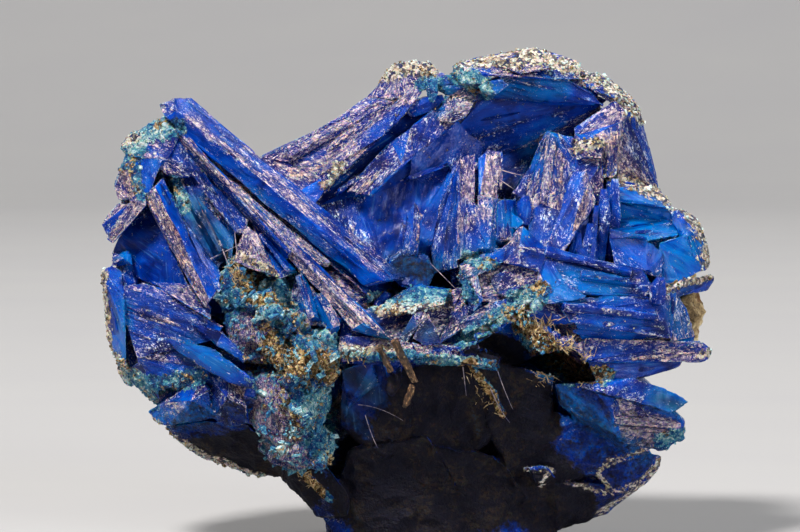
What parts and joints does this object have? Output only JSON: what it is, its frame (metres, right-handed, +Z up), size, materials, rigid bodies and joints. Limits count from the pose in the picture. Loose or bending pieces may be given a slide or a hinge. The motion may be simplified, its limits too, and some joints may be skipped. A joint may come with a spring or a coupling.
{
  "type": "chalcanthite specimen",
  "caption": "Chalcanthite mineral specimen: deep blue bladed crystals around a shallow hollow, on a ledge of pale crust, with matrix rock behind and a flat foot.",
  "frame": {"origin": "middle of the bounding box, at the height of the surface the specimen stands on", "axes": "+Z up, -Y the crystals' side that faces the viewer, +X to the viewer's right along the width"},
  "size_m": [0.0914, 0.0494, 0.0741],
  "materials": {
    "chalcanthite": "deep blue translucent crystal, glassy on broken faces and finely etched with pale flecks on grown faces",
    "matrix": "rough golden-brown iron-stained rock",
    "green_crust": "granular blue-green crust with brown and cream grains",
    "brown_splinter": "dull fibrous brown sliver"
  },
  "bodies": {
    "root": {"chalcanthite_crystals": "chalcanthite", "matrix_rock": "matrix", "green_crust": "green_crust", "brown_splinter_1": "brown_splinter", "brown_splinter_2": "brown_splinter", "brown_splinter_3": "brown_splinter"}
  },
  "joints": []
}
